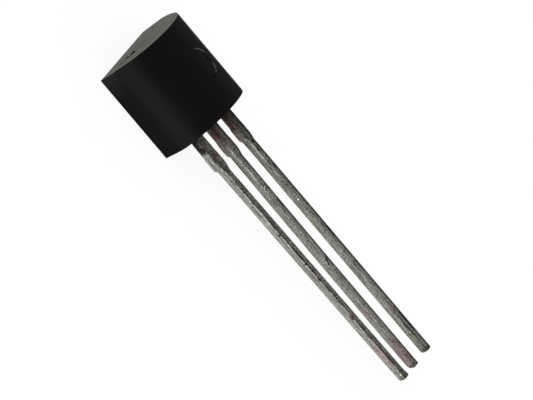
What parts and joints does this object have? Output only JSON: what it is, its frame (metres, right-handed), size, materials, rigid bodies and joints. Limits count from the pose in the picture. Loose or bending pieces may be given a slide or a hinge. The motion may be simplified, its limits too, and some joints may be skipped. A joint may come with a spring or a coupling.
{
  "type": "to-92 transistor",
  "caption": "Small transistor in a D-shaped moulded plastic body with a flat face, a round back and a row of long tinned leads.",
  "frame": {"origin": "centre of the flat face, on which the part lies", "axes": "+X along the row of leads, towards the right lead; +Y from the lead end to the closed end of the body; +Z from the flat face to the round back"},
  "size_m": [0.0046, 0.0193, 0.0035],
  "materials": {
    "moulding_compound": "black filled epoxy moulding compound, fine satin texture",
    "tinned_lead_frame": "dull tin plate with drawn grain and small nicks, copper tinted near the body",
    "silicon": "polished silicon",
    "solder": "dull soft solder",
    "bond_wire_gold": "bright gold"
  },
  "bodies": {
    "root": {"moulded_body": "moulding_compound", "left_lead": "tinned_lead_frame", "middle_lead": "tinned_lead_frame", "right_lead": "tinned_lead_frame", "die": "silicon", "die_solder": "solder", "left_bond_wire": "bond_wire_gold", "right_bond_wire": "bond_wire_gold"}
  },
  "joints": []
}
